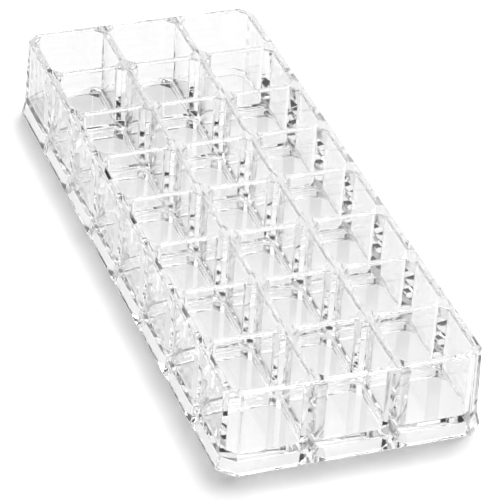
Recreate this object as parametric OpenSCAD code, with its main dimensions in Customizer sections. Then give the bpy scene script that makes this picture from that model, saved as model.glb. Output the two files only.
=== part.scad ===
// Vanity organizer: a clear moulded tray of square wells for lipsticks and small cosmetics.
// The length runs along Y and the width along X. The origin is on the ground under the middle.
// Every wall leans by a named amount, as a mould needs, and every flat face stays flat.

/* [Wells] */
// Number of wells across the tray
cols = 3; // [2:1:5]
// Number of wells along the tray
rows = 8; // [2:1:12]
// Width of a well at the rim
well_w = 26; // [18:0.5:40]
// Length of a well at the rim
well_l = 26; // [18:0.5:40]
// Depth of a well
well_d = 25; // [12:0.5:60]
// Leg of the flat across each corner of a well
well_corner = 2.8; // [1.5:0.1:5]
// How far each side of a well leans in, from the rim to the floor
well_lean = 0.45; // [0.1:0.05:1]

/* [Walls] */
// Thickness of the outer walls at the rim
rim_wall = 2.8; // [1.6:0.1:5]
// Thickness of the dividers at the rim
divider_wall = 2.6; // [1.4:0.1:5]
// Leg of the flat down each outer corner of the tray, at the rim
body_corner = 4.3; // [2:0.1:5]
// How far the outer walls lean out, from the rim to the top of the foot
body_lean = 0.8; // [0:0.1:3]

/* [Base] */
// Thickness of the floor
floor_t = 2.2; // [1:0.1:4]
// Depth of the hollow under each well
pocket_d = 4; // [2:0.1:10]
// Thickness of the ribs between the hollows, at the ground
rib_wall = 3; // [1.5:0.1:5]

/* [Foot] */
// Height of the flared foot
foot_h = 5.2; // [3:0.1:12]
// How far the foot flares out, from its top to the ground
foot_flare = 1.2; // [0:0.1:3]
// Thickness of the foot, measured level
foot_wall = 2; // [1:0.1:3]

/* [Hidden] */
// Colour of the clear plastic and how much it covers
clear = [0.93, 0.95, 0.96];
cover = 0.45;

// Distance from well to well
pitch_x = well_w + divider_wall;
pitch_y = well_l + divider_wall;
// Half sizes of the tray at the rim
half_w = cols * pitch_x / 2 - divider_wall / 2 + rim_wall;
half_l = rows * pitch_y / 2 - divider_wall / 2 + rim_wall;
// Heights of the floor and the rim
floor_z = pocket_d + floor_t;
rim_z = floor_z + well_d;
// Longer than anything here, for cutting shapes
reach = 4 * (half_w + half_l);
// How far a cutting shape runs past what it cuts
overrun = floor_t;

// Half the side of the square that a post fills where dividers cross
post_half = divider_wall / 2 + well_corner;
// Where the straight runs of the outer walls end and the corner posts begin
corner_x = half_w - rim_wall - well_corner;
corner_y = half_l - rim_wall - well_corner;
// Thickness of a divider at the floor, which the rib below it takes up
divider_foot = divider_wall + 2 * well_lean;
// Heights that the dividers and the ribs run between, and their thickness there
well_heights = [floor_z, rim_z];
well_walls = [divider_foot, divider_wall];
rib_heights = [0, pocket_d];
rib_walls = [rib_wall, divider_foot];

// How far the outside stands out from the rim at height z
function out_at(z) = z > foot_h
    ? body_lean * (rim_z - z) / (rim_z - foot_h)
    : body_lean + foot_flare * (foot_h - z) / foot_h;
// How far a well side stands in from the rim at height z
function in_at(z) = well_lean * (rim_z - z) / well_d;

// Half width, half length and half diagonal of the outside at height z
function outside_at(z) = [
    half_w + out_at(z),
    half_l + out_at(z),
    (half_w + half_l - body_corner) / sqrt(2) + out_at(z)
];
// The same for the hollow inside the outer walls, whose corner flats end at the corner posts
function inside_at(z) = let (w = half_w - rim_wall - in_at(z)) [
    w,
    half_l - rim_wall - in_at(z),
    (w + corner_y) / sqrt(2)
];

// The foot's inner sides follow its outer ones, so the foot is as thick all the way down
foot_top = outside_at(pocket_d);
foot_leg = foot_top[0] + foot_top[1] - sqrt(2) * foot_top[2] - (2 - sqrt(2)) * foot_wall;
foot_corner_x = foot_top[0] - foot_wall - foot_leg;
foot_corner_y = foot_top[1] - foot_wall - foot_leg;
// Half width, half length and half diagonal of the hollow inside the foot at height z
function under_at(z) = let (w = outside_at(z)[0] - foot_wall) [
    w,
    outside_at(z)[1] - foot_wall,
    (w + foot_corner_y) / sqrt(2)
];

// Centre lines of walls and dividers, from one outer wall to the other
function lines(count, pitch, end) =
    [for (i = [0:count]) i == 0 ? -end : i == count ? end : (i - count / 2) * pitch];
wall_xs = lines(cols, pitch_x, cols * pitch_x / 2);
wall_ys = lines(rows, pitch_y, rows * pitch_y / 2);
// Under the floor the outermost lines lie further out, behind the foot
rib_xs = lines(cols, pitch_x, foot_top[0] - foot_wall + divider_foot / 2);
rib_ys = lines(rows, pitch_y, foot_top[1] - foot_wall + divider_foot / 2);

// A bar along Y whose sides are the same left and right, given half its thickness at each height
module bar(heights, halves, run = reach) {
    n = len(heights);
    rotate([90, 0, 0])
        linear_extrude(height = run, center = true)
            polygon([
                for (i = [0:n - 1]) [halves[i], heights[i]],
                for (i = [n - 1:-1:0]) [-halves[i], heights[i]]
            ]);
}

// A block with four leaning sides, from its half width and half length at each height
module leaning_sides(heights, sizes) {
    intersection() {
        bar(heights, [for (s = sizes) s[0]]);
        rotate(90) bar(heights, [for (s = sizes) s[1]]);
    }
}

// A block turned by 45 degrees, whose sides are the corner flats, from its half diagonal at each height
module leaning_flats(heights, diagonals) {
    intersection() {
        rotate(45) bar(heights, diagonals);
        rotate(-45) bar(heights, diagonals);
    }
}

// A plain box between two corners
module between(a, b) {
    translate(a) cube(b - a);
}

// The whole outside: upright walls on a flared foot
module outside() {
    heights = [0, foot_h, rim_z];
    sizes = [for (z = heights) outside_at(z)];
    intersection() {
        leaning_sides(heights, sizes);
        leaning_flats(heights, [for (s = sizes) s[2]]);
    }
}

// The sides and the corner flats of the space inside the outer walls, run past the floor and the rim
inside_heights = [floor_z - overrun, rim_z + overrun];
module inside_sides() { leaning_sides(inside_heights, [for (z = inside_heights) inside_at(z)]); }
module inside_flats() { leaning_flats(inside_heights, [for (z = inside_heights) inside_at(z)[2]]); }

// The same for the space inside the foot, which follows the flare
under_bend = min(foot_h, pocket_d);
under_heights = [-overrun, under_bend, pocket_d + overrun];
under_sizes = [for (z = [-overrun, under_bend, under_bend]) under_at(z)];
module under_sides() { leaning_sides(under_heights, under_sizes); }
module under_flats() { leaning_flats(under_heights, [for (s = under_sizes) s[2]]); }

// One stretch of the outer wall above the floor, less the space inside it
module wall_stretch(a, b) {
    color(clear, cover)
        difference() {
            intersection() {
                outside();
                between([a[0], a[1], floor_z], [b[0], b[1], rim_z]);
            }
            children();
        }
}

// One stretch of the foot under the floor, less the space inside it
module foot_stretch(a, b) {
    color(clear, cover)
        difference() {
            intersection() {
                outside();
                between([a[0], a[1], 0], [b[0], b[1], pocket_d]);
            }
            children();
        }
}

// A post where two walls cross: a square with its four corners cut to leaning flats,
// which meet the walls' own sides, given the walls' thickness at each height
module post(x, y, heights, walls) {
    translate([x, y, 0])
        intersection() {
            between([-post_half, -post_half, heights[0]], [post_half, post_half, heights[1]]);
            leaning_flats(heights, [for (w = walls) (w / 2 + post_half) / sqrt(2)]);
        }
}

// A post between wells, and one between the hollows under them
module well_post(x, y) {
    post(x, y, well_heights, well_walls);
}
module rib_post(x, y) {
    post(x, y, rib_heights, rib_walls);
}

// A wall from line to line that stops at the posts, along Y at x or along X at y
module run_along_y(x, from, to, heights, walls) {
    translate([x, (from + to) / 2, 0])
        bar(heights, walls / 2, to - from - 2 * post_half);
}
module run_along_x(y, from, to, heights, walls) {
    translate([(from + to) / 2, y, 0])
        rotate(90) bar(heights, walls / 2, to - from - 2 * post_half);
}

// Base

// The floor, one plate under all the wells and walls
module base_plate() {
    color(clear, cover)
        intersection() {
            outside();
            between([-reach, -reach, pocket_d], [reach, reach, floor_z]);
        }
}

// The flared foot, in four sides and four corners
module front_foot() { foot_stretch([-foot_corner_x, -reach], [foot_corner_x, -foot_corner_y]) under_sides(); }
module rear_foot() { foot_stretch([-foot_corner_x, foot_corner_y], [foot_corner_x, reach]) under_sides(); }
module left_foot() { foot_stretch([-reach, -foot_corner_y], [-foot_corner_x, foot_corner_y]) under_sides(); }
module right_foot() { foot_stretch([foot_corner_x, -foot_corner_y], [reach, foot_corner_y]) under_sides(); }
module foot_corners() {
    for (sx = [0, 1], sy = [0, 1])
        mirror([sx, 0, 0]) mirror([0, sy, 0])
            foot_stretch([foot_corner_x, foot_corner_y], [reach, reach]) under_flats();
}

// One rib under a long divider, a length for each row
module long_rib(line) {
    color(clear, cover)
        for (row = [1:rows])
            run_along_y(rib_xs[line], rib_ys[row - 1], rib_ys[row], rib_heights, rib_walls);
}

// One rib under a cross divider, a length for each column
module cross_rib(line) {
    color(clear, cover)
        for (col = [1:cols])
            run_along_x(rib_ys[line], rib_xs[col - 1], rib_xs[col], rib_heights, rib_walls);
}

// Posts where the ribs cross or meet the foot
module rib_posts() {
    color(clear, cover) {
        for (row = [1:rows - 1], col = [1:cols - 1]) rib_post(rib_xs[col], rib_ys[row]);
        for (row = [1:rows - 1], col = [0, cols])
            intersection() {
                rib_post(rib_xs[col], rib_ys[row]);
                under_sides();
            }
        for (row = [0, rows], col = [1:cols - 1])
            intersection() {
                rib_post(rib_xs[col], rib_ys[row]);
                under_sides();
            }
    }
}

// Outer walls

module front_wall() { wall_stretch([-corner_x, -reach], [corner_x, -corner_y]) inside_sides(); }
module rear_wall() { wall_stretch([-corner_x, corner_y], [corner_x, reach]) inside_sides(); }
module left_wall() { wall_stretch([-reach, -corner_y], [-corner_x, corner_y]) inside_sides(); }
module right_wall() { wall_stretch([corner_x, -corner_y], [reach, corner_y]) inside_sides(); }
module corner_posts() {
    for (sx = [0, 1], sy = [0, 1])
        mirror([sx, 0, 0]) mirror([0, sy, 0])
            wall_stretch([corner_x, corner_y], [reach, reach]) inside_flats();
}

// Half posts where the dividers meet the outer walls
module wall_posts() {
    color(clear, cover) {
        for (row = [1:rows - 1], col = [0, cols])
            intersection() {
                well_post(wall_xs[col], wall_ys[row]);
                inside_sides();
            }
        for (row = [0, rows], col = [1:cols - 1])
            intersection() {
                well_post(wall_xs[col], wall_ys[row]);
                inside_sides();
            }
    }
}

// Dividers

// Posts where the long and the cross dividers meet
module crossing_posts() {
    color(clear, cover)
        for (row = [1:rows - 1], col = [1:cols - 1]) well_post(wall_xs[col], wall_ys[row]);
}

// One long divider, a panel for each row
module long_divider(line) {
    color(clear, cover)
        for (row = [1:rows])
            run_along_y(wall_xs[line], wall_ys[row - 1], wall_ys[row], well_heights, well_walls);
}

// One cross divider, a panel for each column
module cross_divider(line) {
    color(clear, cover)
        for (col = [1:cols])
            run_along_x(wall_ys[line], wall_xs[col - 1], wall_xs[col], well_heights, well_walls);
}

base_plate();
front_foot();
rear_foot();
left_foot();
right_foot();
foot_corners();
rib_posts();
for (line = [1:cols - 1])
    long_rib(line);
for (line = [1:rows - 1])
    cross_rib(line);
front_wall();
rear_wall();
left_wall();
right_wall();
corner_posts();
wall_posts();
crossing_posts();
for (line = [1:cols - 1])
    long_divider(line);
for (line = [1:rows - 1])
    cross_divider(line);
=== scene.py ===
# A long clear tray of square wells for lipsticks, on a plain white table in studio light.
# Metres, Z up, with the tray standing on the table and its middle over the origin.

from math import cos, pi, radians, sin

import bmesh
import bpy
import numpy as np
from mathutils import Matrix, Vector


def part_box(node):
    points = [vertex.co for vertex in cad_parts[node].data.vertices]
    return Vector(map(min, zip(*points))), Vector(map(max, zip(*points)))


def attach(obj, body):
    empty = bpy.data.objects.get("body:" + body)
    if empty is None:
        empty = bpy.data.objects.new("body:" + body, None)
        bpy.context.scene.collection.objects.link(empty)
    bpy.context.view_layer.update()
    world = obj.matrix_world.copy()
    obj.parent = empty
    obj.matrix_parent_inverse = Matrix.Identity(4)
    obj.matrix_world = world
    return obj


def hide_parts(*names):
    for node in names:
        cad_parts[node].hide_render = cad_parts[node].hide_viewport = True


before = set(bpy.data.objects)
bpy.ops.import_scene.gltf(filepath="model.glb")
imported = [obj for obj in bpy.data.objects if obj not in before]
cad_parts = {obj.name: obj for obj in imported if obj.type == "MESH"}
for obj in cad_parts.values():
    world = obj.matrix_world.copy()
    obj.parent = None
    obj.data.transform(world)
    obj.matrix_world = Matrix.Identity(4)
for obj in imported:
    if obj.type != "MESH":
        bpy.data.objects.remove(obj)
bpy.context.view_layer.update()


# Viewpoint
# The camera looks down on the tray's near left corner with a long lens, which keeps the rows of
# wells nearly parallel. It is turned a little about its own axis, so the tray leans in the picture.

CAMERA_AT = Vector((-0.32461, -0.82861, 0.60867))
LOOK_AT = Vector((-0.00162, -0.01785, 0.015))
CAMERA_ROLL = radians(3.93)
LENS_MM = 219.2
SENSOR_MM = 36

camera_data = bpy.data.cameras.new("camera")
camera_data.sensor_width = SENSOR_MM
camera_data.lens = LENS_MM
camera = bpy.data.objects.new("camera", camera_data)
bpy.context.collection.objects.link(camera)
facing = (LOOK_AT - CAMERA_AT).to_track_quat("-Z", "Y").to_matrix().to_4x4()
roll = Matrix.Rotation(CAMERA_ROLL, 4, "Z")
camera.matrix_world = Matrix.Translation(CAMERA_AT) @ facing @ roll
bpy.context.scene.camera = camera


# Tray
# One moulding of clear, colourless polystyrene: three wells by eight with thin dividers, cut
# corners and a flared hollow foot. It comes out of a polished steel mould in one shot, so every
# wall leans a little and every edge has a small round. Nothing is joined to it.

COLUMNS, ROWS = 3, 8
WELLS = COLUMNS * ROWS
WELL = 0.026
DIVIDER = 0.0026
WELL_FLAT = 0.0028
WELL_LEAN = 0.00015
RIM_WALL = 0.0028
BODY_FLAT = 0.0043
BODY_LEAN = 0.0008
FOOT_TOP = 0.0052
FOOT_FLARE = 0.0012
FOOT_WALL = 0.002
RIB = 0.003
RIB_TOP = 0.0035
RIM_ROUND = 0.00075
EDGE_ROUND = 0.00035
FLOOR_ROUND = 0.00055
CREASE_ROUND = 0.0004
FACET_ROUND = 0.0006
BODY_ROUND = 0.0009
ARC_STEPS = 3
EDGE_STEPS = 4
WELD = 1e-6

RIM_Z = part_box("front_wall")[1].z
FLOOR_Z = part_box("base_plate")[1].z
POCKET_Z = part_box("base_plate")[0].z
PITCH = WELL + DIVIDER
POST_HALF = DIVIDER / 2 + WELL_FLAT
HALF_W = COLUMNS * PITCH / 2 - DIVIDER / 2 + RIM_WALL
HALF_L = ROWS * PITCH / 2 - DIVIDER / 2 + RIM_WALL

centre_x = (np.arange(COLUMNS) - (COLUMNS - 1) / 2) * PITCH
centre_y = (np.arange(ROWS) - (ROWS - 1) / 2) * PITCH
centres = np.stack(np.meshgrid(centre_x, centre_y, indexing="ij"), -1)


def outline(reach, radius):
    """Eight-sided outline with rounded corners. Side k faces 45 k degrees and lies reach[..., k]
    from the centre. Corner k, where sides k and k + 1 meet, is an arc tangent to both: its middle
    plus the radius times a direction that turns from one side's normal to the next."""
    step = np.pi / 4
    facing = np.arange(8) * step
    normal = np.stack([np.cos(facing), np.sin(facing)], -1)
    along = np.stack([-np.sin(facing), np.cos(facing)], -1)
    travel = (np.roll(reach, -1, -1) - reach * np.cos(step)) / np.sin(step)
    corner = reach[..., None] * normal + travel[..., None] * along
    halfway = np.stack([np.cos(facing + step / 2), np.sin(facing + step / 2)], -1)
    radius = np.asarray(radius)[..., None, None]
    middle = corner - radius / np.cos(step / 2) * halfway
    sweep = facing[:, None] + step * np.linspace(0, 1, ARC_STEPS + 1)
    spoke = np.stack([np.cos(sweep), np.sin(sweep)], -1)
    return middle[..., None, :] + radius[..., None] * spoke


def edge_round(level, size, side, grow, ends_level):
    """Quarter round between a level face at that height and an upright one. The height leaves the
    level face by size times one minus the sine, to the given side, and the outline grows or
    shrinks by size times one minus the cosine. Returns heights and growths."""
    angle = np.linspace(0, np.pi / 2, EDGE_STEPS + 1)
    if not ends_level:
        angle = angle[::-1]
    height = level + side * size * (1 - np.sin(angle))
    return np.stack([height, grow * size * (1 - np.cos(angle))])


def well_reach(z, grow):
    """Sides of a well at height z: half its mouth less the lean, which grows evenly with depth. The
    odd sides are the flats across its corners."""
    lean = WELL_LEAN * (RIM_Z - z) / (RIM_Z - FLOOR_Z)
    side = WELL / 2 - lean + grow
    flat = (WELL - WELL_FLAT - lean) / np.sqrt(2) + grow
    return np.stack([side, flat] * 4, -1)


def body_out(z):
    """How far the outside stands out from the rim: evenly down the wall, faster down the foot."""
    wall = BODY_LEAN * (RIM_Z - z) / (RIM_Z - FOOT_TOP)
    foot = BODY_LEAN + FOOT_FLARE * (FOOT_TOP - z) / FOOT_TOP
    return np.where(z > FOOT_TOP, wall, foot)


def body_reach(z, grow):
    """Sides of the whole tray at height z, measured from its middle."""
    out = body_out(z) + grow
    flat = (HALF_W + HALF_L - BODY_FLAT) / np.sqrt(2) + out
    return np.stack([HALF_W + out, flat, HALF_L + out, flat] * 2, -1)


def pocket_reach(z, grow):
    """Sides of the hollow under each well at height z, measured from the well's middle. Inner sides
    stand half a rib off the line between two wells, and the rib grows evenly from the ground up.
    Outer sides follow the foot at its thickness, and the flats follow the posts or, at the tray's
    corners, the foot."""
    half_rib = (RIB + (RIB_TOP - RIB) * z / POCKET_Z) / 2
    top_out = float(body_out(POCKET_Z))
    lines, sides = {}, {}
    for axis, (half, middles) in enumerate(((HALF_W, centre_x), (HALF_L, centre_y))):
        for sign in (1, -1):
            outer = (sign * middles == abs(middles[0]))[:, None]
            line = half + top_out - FOOT_WALL + RIB_TOP / 2 - sign * middles[:, None]
            side = half + body_out(z) - FOOT_WALL - sign * middles[:, None]
            lines[axis, sign] = np.where(outer, line, PITCH / 2)
            sides[axis, sign] = np.where(outer, side, PITCH / 2 - half_rib)
    leg = BODY_FLAT + (2 - np.sqrt(2)) * (top_out - FOOT_WALL)
    corner = HALF_W + body_out(z) + HALF_L + top_out - 2 * FOOT_WALL - leg
    corner = corner - centre_x[-1] - centre_y[-1]
    reach = np.zeros((COLUMNS, ROWS, len(z), 8))
    reach[..., 0], reach[..., 4] = sides[0, 1][:, None], sides[0, -1][:, None]
    reach[..., 2], reach[..., 6] = sides[1, 1][None], sides[1, -1][None]
    for k, (sx, sy) in zip((1, 3, 5, 7), ((1, 1), (-1, 1), (-1, -1), (1, -1))):
        crossing = lines[0, sx][:, None] + lines[1, sy][None]
        reach[..., k] = (crossing - half_rib - POST_HALF) / np.sqrt(2)
        reach[min(-sx, 0), min(-sy, 0), :, k] = corner / np.sqrt(2)
    return reach + grow[:, None]


def lots(z, grow):
    """Where each well's share of the tray ends at heights of the outside: midway between wells, and
    round the tray on its own outline. Point for point it goes with a well's outline, so every
    arc there becomes a straight run to the lot's corner here, or the tray's own corner arc."""
    out = body_out(z) + grow
    x_lines = np.tile((np.arange(COLUMNS + 1) - COLUMNS / 2) * PITCH, (len(z), 1))
    y_lines = np.tile((np.arange(ROWS + 1) - ROWS / 2) * PITCH, (len(z), 1))
    x_lines[:, 0], x_lines[:, -1] = -HALF_W - out, HALF_W + out
    y_lines[:, 0], y_lines[:, -1] = -HALF_L - out, HALF_L + out
    right, back = np.array([1, 1, 0, 0, 0, 0, 1, 1]), np.array([1, 1, 1, 1, 0, 0, 0, 0])
    shape = (len(z), COLUMNS, ROWS, 8)
    corner = np.stack([
        np.broadcast_to(x_lines[:, np.arange(COLUMNS)[:, None] + right][:, :, None], shape),
        np.broadcast_to(y_lines[:, np.arange(ROWS)[:, None] + back][:, None], shape),
    ], -1)
    mouth = outline(well_reach(RIM_Z, RIM_ROUND), FACET_ROUND + RIM_ROUND)
    even = np.arange(8)[:, None] % 2 == 0
    tangent = centres[:, :, None] + np.where(even, mouth[:, 0], mouth[:, -1])
    on_x_line = np.isin(np.arange(8), (0, 3, 4, 7))[:, None] == np.array([True, False])
    start = np.where(on_x_line, corner, tangent)
    share = np.linspace(0, 1, ARC_STEPS + 1)
    share = np.where(even, share, 1 - share)[..., None]
    points = start[..., None, :] + (corner - start)[..., None, :] * share
    arcs = outline(body_reach(z, grow), BODY_ROUND + grow)
    for i, j, k in ((-1, -1, 0), (0, -1, 2), (0, 0, 4), (-1, 0, 6)):
        points[:, i, j, k:k + 2] = arcs[:, k:k + 2]
    return points


def around(lot_points):
    """The tray's own outline from its lots: the outer runs of the outer wells, anticlockwise."""
    sides = (
        lot_points[:, -1][:, :, [7, 0]],
        lot_points[:, ::-1, -1][:, :, [1, 2]],
        lot_points[:, 0, ::-1][:, :, [3, 4]],
        lot_points[:, :, 0][:, :, [5, 6]],
    )
    return np.concatenate([side.reshape(len(lot_points), -1, 2) for side in sides], 1)


def raised(points, z):
    """Rings [rings, points, 2], with any dimensions before them, lifted to their heights."""
    heights = np.broadcast_to(z[:, None], points.shape[:-1])
    return np.concatenate([points, heights[..., None]], -1)


# Heights and growths of the three skins: the outside, the wells and the hollows under them
rim_round = edge_round(RIM_Z, RIM_ROUND, -1, -1, False)
blend = np.linspace(0, 1, ARC_STEPS + 1)
crease_z = FOOT_TOP + CREASE_ROUND * (1 - 2 * blend)
crease_out = (
    (1 - blend) ** 2 * body_out(FOOT_TOP + CREASE_ROUND)
    + 2 * blend * (1 - blend) * body_out(FOOT_TOP)
    + blend ** 2 * body_out(FOOT_TOP - CREASE_ROUND)
)
ground_round = edge_round(0, EDGE_ROUND, 1, -1, True)
body_z, body_grow = np.concatenate([
    rim_round, np.stack([crease_z, crease_out - body_out(crease_z)]), ground_round,
], 1)
well_z, well_grow = np.concatenate([
    edge_round(RIM_Z, RIM_ROUND, -1, 1, False), edge_round(FLOOR_Z, FLOOR_ROUND, 1, -1, True),
], 1)
pocket_z, pocket_grow = np.concatenate([
    edge_round(0, EDGE_ROUND, 1, 1, False), edge_round(POCKET_Z, FLOOR_ROUND, -1, -1, True),
], 1)

body_lots = lots(body_z, body_grow)
body_rings = raised(around(body_lots), body_z)[None]

well_outline = outline(well_reach(well_z, well_grow), FACET_ROUND + well_grow)
well_rings = centres[:, :, None, None, None] + well_outline
well_rings = raised(well_rings.reshape(WELLS, len(well_z), -1, 2), well_z)
rim_rings = raised(body_lots[:1].reshape(1, WELLS, -1, 2).swapaxes(0, 1), np.array([RIM_Z]))
well_rings = np.concatenate([rim_rings, well_rings], 1)

pocket_outline = outline(pocket_reach(pocket_z, pocket_grow), FACET_ROUND + pocket_grow)
pocket_rings = centres[:, :, None, None, None] + pocket_outline
pocket_rings = raised(pocket_rings.reshape(WELLS, len(pocket_z), -1, 2), pocket_z)
ground_rings = raised(body_lots[-1:].reshape(1, WELLS, -1, 2).swapaxes(0, 1), np.array([0.0]))
pocket_rings = np.concatenate([ground_rings, pocket_rings], 1)

points, faces, count = [], [], 0
for rings in (body_rings, well_rings, pocket_rings):
    index = count + np.arange(rings[..., 0].size).reshape(rings.shape[:3])
    upper, lower = index[:, :-1], index[:, 1:]
    band = np.stack([upper, np.roll(upper, -1, 2), np.roll(lower, -1, 2), lower], -1)
    faces += band.reshape(-1, 4).tolist()
    if rings is not body_rings:
        faces += index[:, -1].tolist()
    points.append(rings.reshape(-1, 3))
    count += index.size

tray_mesh = bpy.data.meshes.new("clear_tray")
tray_mesh.from_pydata(np.concatenate(points).tolist(), [], faces)
shell = bmesh.new()
shell.from_mesh(tray_mesh)
bmesh.ops.remove_doubles(shell, verts=shell.verts, dist=WELD)
bmesh.ops.recalc_face_normals(shell, faces=shell.faces)
shell.to_mesh(tray_mesh)
shell.free()
tray_mesh.shade_smooth()
tray = bpy.data.objects.new("clear_tray", tray_mesh)
bpy.context.collection.objects.link(tray)

# Large faces outweigh the rounds beside them, so that they stay flat in the shading
FLAT_WEIGHT = 90

flatten = tray.modifiers.new("flat faces stay flat", "WEIGHTED_NORMAL")
flatten.mode = "FACE_AREA"
flatten.weight = FLAT_WEIGHT


def linear(hex_colour):
    """sRGB hex to linear red, green, blue and 1: below 0.04045 a share of 12.92, and above it the
    channel plus 0.055, over 1.055, to the power 2.4."""
    channels = np.array([int(hex_colour[i:i + 2], 16) for i in (1, 3, 5)]) / 255
    low, high = channels / 12.92, ((channels + 0.055) / 1.055) ** 2.4
    return (*np.where(channels <= 0.04045, low, high), 1)


def add(tree, kind, links=None, **settings):
    """Adds a node, sets its sockets and properties by name, and links its inputs."""
    node = tree.nodes.new(kind)
    for name, value in settings.items():
        words = name.replace("_", " ")
        target = node.inputs.get(words.title()) or node.inputs.get(words)
        if target is None:
            setattr(node, name, value)
        else:
            target.default_value = value
    for name, source in (links or {}).items():
        tree.links.new(source, node.inputs[name])
    return node


# Moulded polystyrene, clear with a high gloss from the polished mould. Its flow leaves faint slow
# waves in the skin, one every 17 mm or so. Its refractive index is 1.59, and the lower one used
# here matches the dark lines in the foot better.
WAVES_PER_METRE = 60
WAVE_DETAIL = 1.5
WAVE_DEPTH = 0.00002
WAVE_STRENGTH = 0.1

polystyrene = bpy.data.materials.new("moulded_clear_polystyrene")
polystyrene.use_nodes = True
tree = polystyrene.node_tree
tree.nodes.clear()
place = add(tree, "ShaderNodeTexCoord")
waves = add(tree, "ShaderNodeTexNoise", {"Vector": place.outputs["Object"]},
            Scale=WAVES_PER_METRE, Detail=WAVE_DETAIL)
flow = add(tree, "ShaderNodeBump", {"Height": waves.outputs["Fac"]},
           Strength=WAVE_STRENGTH, Distance=WAVE_DEPTH)
plastic = add(tree, "ShaderNodeBsdfPrincipled", {"Normal": flow.outputs["Normal"]},
              Base_Color=linear("#FEFEFE"), Roughness=0.01, IOR=1.49, Transmission_Weight=1.0)
output = add(tree, "ShaderNodeOutputMaterial", {"Surface": plastic.outputs["BSDF"]})
tray_mesh.materials.append(polystyrene)

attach(tray, "root")
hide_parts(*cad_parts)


# Table
# A sheet of plain white laminate, far larger than the picture. The tray's shadow shows on it.

TABLE_HALF = 3.0
TABLE_Z = -0.00005

table_mesh = bpy.data.meshes.new("table")
signs = ((-1, -1), (1, -1), (1, 1), (-1, 1))
corners = [(x * TABLE_HALF, y * TABLE_HALF, TABLE_Z) for x, y in signs]
table_mesh.from_pydata(corners, [], [(0, 1, 2, 3)])
table = bpy.data.objects.new("table", table_mesh)
bpy.context.collection.objects.link(table)


def sent_on(tree, path):
    """1 where a glossy or clear surface shows a thing, and 0 where it is seen or lit directly."""
    rays = {0: path.outputs["Is Glossy Ray"], 1: path.outputs["Is Transmission Ray"]}
    return add(tree, "ShaderNodeMath", rays, operation="MAXIMUM")


# Matt white melamine laminate. The camera sees it lit and shaded, with a little glow that takes it
# to white, and plain white far from the tray. Clear plastic shows it nearly white all over.
CAMERA_GLOW = 0.33
WHITE_SHARE = 0.8
WHITE_FROM, WHITE_BY = 0.18, 0.45

laminate = bpy.data.materials.new("white_laminate")
laminate.use_nodes = True
tree = laminate.node_tree
tree.nodes.clear()
path = add(tree, "ShaderNodeLightPath")
direct = path.outputs["Is Camera Ray"]
matt = add(tree, "ShaderNodeBsdfDiffuse", Color=linear("#F4F4F4"))
lift = add(tree, "ShaderNodeMath", {0: direct}, operation="MULTIPLY")
lift.inputs[1].default_value = CAMERA_GLOW
glow = add(tree, "ShaderNodeEmission", {"Strength": lift.outputs[0]}, Color=(1, 1, 1, 1))
seen = add(tree, "ShaderNodeAddShader", {0: matt.outputs[0], 1: glow.outputs[0]})
inside = add(tree, "ShaderNodeMath", {0: sent_on(tree, path).outputs[0]}, operation="MULTIPLY")
inside.inputs[1].default_value = WHITE_SHARE
place = add(tree, "ShaderNodeTexCoord")
away = add(tree, "ShaderNodeVectorMath", {0: place.outputs["Object"]}, operation="LENGTH")
far = add(tree, "ShaderNodeMapRange", {"Value": away.outputs["Value"]},
          interpolation_type="SMOOTHSTEP", From_Min=WHITE_FROM, From_Max=WHITE_BY)
share = add(tree, "ShaderNodeMath", {0: direct, 1: far.outputs[0], 2: inside.outputs[0]},
            operation="MULTIPLY_ADD")
white = add(tree, "ShaderNodeEmission", Color=(1, 1, 1, 1), Strength=1.0)
surface = add(tree, "ShaderNodeMixShader",
              {0: share.outputs[0], 1: seen.outputs[0], 2: white.outputs[0]})
output = add(tree, "ShaderNodeOutputMaterial", {"Surface": surface.outputs[0]})
table_mesh.materials.append(laminate)


# Light
# A dark studio with three softboxes: a strong one high up on the right, a tall one behind to the
# right and a small one in front to the left. A white backdrop stands low all round the table. Clear
# walls look white where they show table, backdrop or softbox, and dark where they show the room.

ROOM_GREY = 0.01
# Sine of the height at which the backdrop starts to fade, and how much more it takes to end
BACKDROP_TOP = 0.08
BACKDROP_EDGE = 0.05
# Watts per square metre at which a softbox looks exactly white
WATTS_PER_LEVEL = pi
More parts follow.
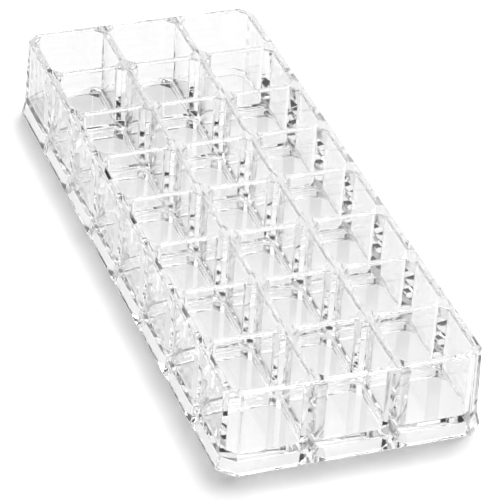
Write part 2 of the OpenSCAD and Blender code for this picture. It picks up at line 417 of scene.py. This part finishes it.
# Bearing clockwise from +Y and height above the table in degrees, distance from the tray, width and
# height of the softbox in metres, and its brightness, where 1 is white
SOFTBOXES = {
    "overhead": (45, 70, 1.2, 0.54, 0.54, 17.8),
    "behind_right": (30, 46, 1.5, 0.56, 1.0, 1.6),
    "front_left": (240, 40, 1.5, 0.64, 0.6, 1.0),
}

for name, (bearing, height, away, wide, tall, level) in SOFTBOXES.items():
    lamp = bpy.data.lights.new(name, "AREA")
    lamp.shape = "RECTANGLE"
    lamp.size, lamp.size_y = wide, tall
    lamp.energy = WATTS_PER_LEVEL * level * wide * tall
    softbox = bpy.data.objects.new(name, lamp)
    bpy.context.collection.objects.link(softbox)
    swing, rise = radians(bearing), radians(height)
    towards = Vector((sin(swing) * cos(rise), cos(swing) * cos(rise), sin(rise)))
    turn = towards.to_track_quat("Z", "Y").to_matrix().to_4x4()
    softbox.matrix_world = Matrix.Translation(towards * away) @ turn

world = bpy.data.worlds.new("studio")
bpy.context.scene.world = world
world.use_nodes = True
tree = world.node_tree
tree.nodes.clear()
path = add(tree, "ShaderNodeLightPath")
dim = add(tree, "ShaderNodeBackground", Color=(1, 1, 1, 1), Strength=ROOM_GREY)
backdrop = add(tree, "ShaderNodeBackground", Color=(1, 1, 1, 1), Strength=1.0)
bent = sent_on(tree, path)
place = add(tree, "ShaderNodeTexCoord")
direction = add(tree, "ShaderNodeSeparateXYZ", {"Vector": place.outputs["Generated"]})
low = add(tree, "ShaderNodeMapRange", {"Value": direction.outputs["Z"]},
          interpolation_type="SMOOTHSTEP", From_Min=BACKDROP_TOP,
          From_Max=BACKDROP_TOP + BACKDROP_EDGE, To_Min=1.0, To_Max=0.0)
share = add(tree, "ShaderNodeMath",
            {0: bent.outputs[0], 1: low.outputs[0], 2: path.outputs["Is Camera Ray"]},
            operation="MULTIPLY_ADD")
room = add(tree, "ShaderNodeMixShader",
           {0: share.outputs[0], 1: dim.outputs[0], 2: backdrop.outputs[0]})
output = add(tree, "ShaderNodeOutputWorld", {"Surface": room.outputs[0]})

# Light bounces to and fro many times inside the clear walls before it leaves them
BOUNCES = 48

cycles = bpy.context.scene.cycles
cycles.max_bounces = cycles.glossy_bounces = cycles.transmission_bounces = BOUNCES
bpy.context.scene.view_settings.view_transform = "Standard"
